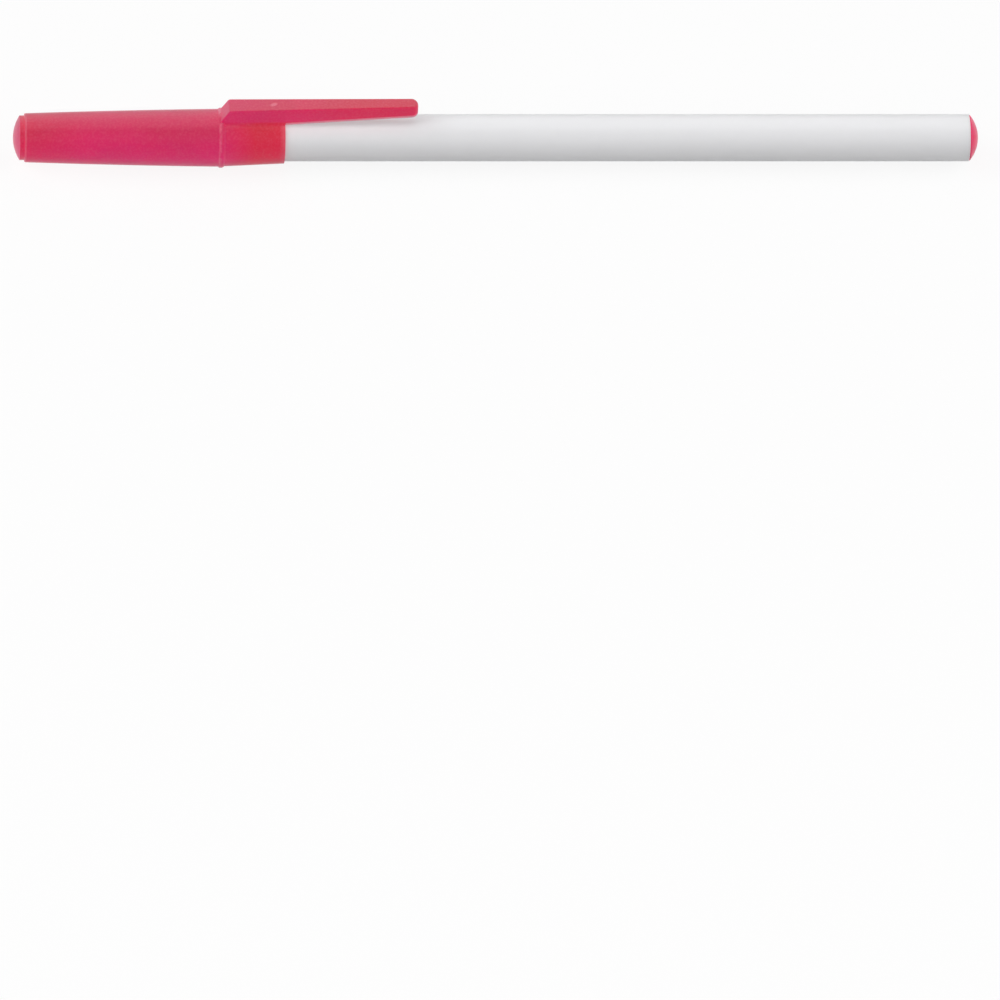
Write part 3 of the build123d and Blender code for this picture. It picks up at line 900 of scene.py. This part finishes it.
cameraData = bpy.data.cameras.new("photoCamera")
cameraData.lens = view["lens"]
distance = pixel * view["pictureSize"] * cameraData.lens / cameraData.sensor_width
cameraData.clip_end = distance * 3
cameraPlace = penMiddle + toCamera * distance
aim = penMiddle + pictureRight * offRight - pictureUp * offDown
back = (cameraPlace - aim).normalized()
right = penLine.cross(toCamera).cross(back).normalized() * -1  # keeps the pen level in the picture
axes = Matrix((right, back.cross(right), back)).transposed()
photoCamera = bpy.data.objects.new("photoCamera", cameraData)
photoCamera.matrix_world = Matrix.Translation(cameraPlace) @ axes.to_4x4()
scene.collection.objects.link(photoCamera)
scene.camera = photoCamera
print("camera placed at", [round(c, 3) for c in cameraPlace])

# white paper floor: it shows near white, also in reflections, and keeps a soft shadow
paperFloor = {
    "size": 6.0,
    "shade": "#C4C4C4",  # for light that it throws back on the pen
    "seenShade": "#FBFBFB",
    "seenGlow": 0.88,  # share of plain white where it is seen
    "mirrorGlow": 0.6,  # and where it is reflected
}
corner = paperFloor["size"] / 2
floorMesh = bpy.data.meshes.new("paperFloor")
floorCorners = [(-corner, -corner, 0), (corner, -corner, 0), (corner, corner, 0), (-corner, corner, 0)]
floorMesh.from_pydata(floorCorners, [], [(0, 1, 2, 3)])
floor = bpy.data.objects.new("paperFloor", floorMesh)
scene.collection.objects.link(floor)
paper, tree = newMaterial("paperWhiteCoated")
path = addNode(tree, "ShaderNodeLightPath").outputs
seen = addNode(tree, "ShaderNodeMath", {0: path["Is Camera Ray"], 1: path["Is Transmission Ray"]},
               operation="MAXIMUM").outputs[0]
seenAlso = addNode(tree, "ShaderNodeMath", {0: seen, 1: path["Is Glossy Ray"]},
                   operation="MAXIMUM").outputs[0]
seenGlow = addNode(tree, "ShaderNodeMath", {0: seen, 1: paperFloor["seenGlow"]},
                   operation="MULTIPLY").outputs[0]
mirrorGlow = addNode(tree, "ShaderNodeMath", {0: path["Is Glossy Ray"], 1: paperFloor["mirrorGlow"]},
                     operation="MULTIPLY").outputs[0]
glowShare = addNode(tree, "ShaderNodeMath", {0: seenGlow, 1: mirrorGlow}, operation="MAXIMUM").outputs[0]
shade = addNode(tree, "ShaderNodeMix", {
    "Factor": seenAlso, "A": linear(paperFloor["shade"]), "B": linear(paperFloor["seenShade"])},
    data_type="RGBA").outputs["Result"]
diffuse = addNode(tree, "ShaderNodeBsdfDiffuse", {"Color": shade}).outputs[0]
glow = addNode(tree, "ShaderNodeEmission", {"Color": (1, 1, 1, 1), "Strength": 1.0}).outputs[0]
mixed = addNode(tree, "ShaderNodeMixShader", {0: glowShare, 1: diffuse, 2: glow}).outputs[0]
addNode(tree, "ShaderNodeOutputMaterial", {"Surface": mixed})
floorMesh.materials.append(paper)

# soft studio light in a white room: softboxes light the pen, and cards only show in reflections
studio = {
    "roomLight": 0.18,  # what the room adds to the light on the pen
    "roomSeen": 1.0,  # how white it looks
    "distance": 0.9,
    # turn from the camera's side to the cap and rise in degrees, width and depth in metres, power in watts,
    # and whether the cap throws a shade from it
    "softboxes": {
        "frontSoftbox": (4, 42, 0.9, 0.6, 3.0, False),
        "capSoftbox": (90, 38, 0.6, 0.6, 3.2, True),
        "endSoftbox": (-90, 38, 0.6, 0.6, 3.2, False),
        "backSoftbox": (180, 38, 1.2, 0.6, 1.2, False),
    },
    "cards": {
        "backCard": (180, 60, 1.4, 1.5, 6.0, True),
        "capCard": (90, 38, 0.9, 0.6, 1.2, True),
        "endCard": (-90, 38, 0.9, 0.6, 0.8, True),
    },
}
world = bpy.data.worlds.new("studio")
scene.world = world
world.use_nodes = True
tree = world.node_tree
tree.nodes.clear()
path = addNode(tree, "ShaderNodeLightPath").outputs
seen = addNode(tree, "ShaderNodeMath", {0: path["Is Camera Ray"], 1: path["Is Glossy Ray"]},
               operation="MAXIMUM").outputs[0]
seenAlso = addNode(tree, "ShaderNodeMath", {0: seen, 1: path["Is Transmission Ray"]},
                   operation="MAXIMUM").outputs[0]
roomLevel = addNode(tree, "ShaderNodeMapRange", {
    "Value": seenAlso, "To Min": studio["roomLight"], "To Max": studio["roomSeen"]}).outputs["Result"]
room = addNode(tree, "ShaderNodeBackground", {"Color": (1, 1, 1, 1), "Strength": roomLevel})
addNode(tree, "ShaderNodeOutputWorld", {"Surface": room.outputs["Background"]})
# the clip throws hardly any shade on the barrel, so the cap is left out of what shades three of the softboxes
unshading = bpy.data.collections.new("unshading")
unshading.objects.link(capPiece)
unshading.collection_objects[0].light_linking.link_state = "EXCLUDE"
for group in ("softboxes", "cards"):
    for name, (turn, rise, width, depth, power, capShades) in studio[group].items():
        lampData = bpy.data.lights.new(name, "AREA")
        lampData.shape = "RECTANGLE"
        lampData.size = width
        lampData.size_y = depth
        lampData.energy = power
        lamp = bpy.data.objects.new(name, lampData)
        lamp.visible_diffuse = group == "softboxes"
        lamp.visible_glossy = group == "cards"
        if not capShades:
            lamp.light_linking.blocker_collection = unshading
        level = cos(radians(rise))
        toLamp = Vector((-sin(radians(turn)) * level, -cos(radians(turn)) * level, sin(radians(rise))))
        lamp.location = penMiddle + toLamp * studio["distance"]
        lamp.rotation_euler = toLamp.to_track_quat("Z", "Y").to_euler()
        scene.collection.objects.link(lamp)
print("floor and lights made")
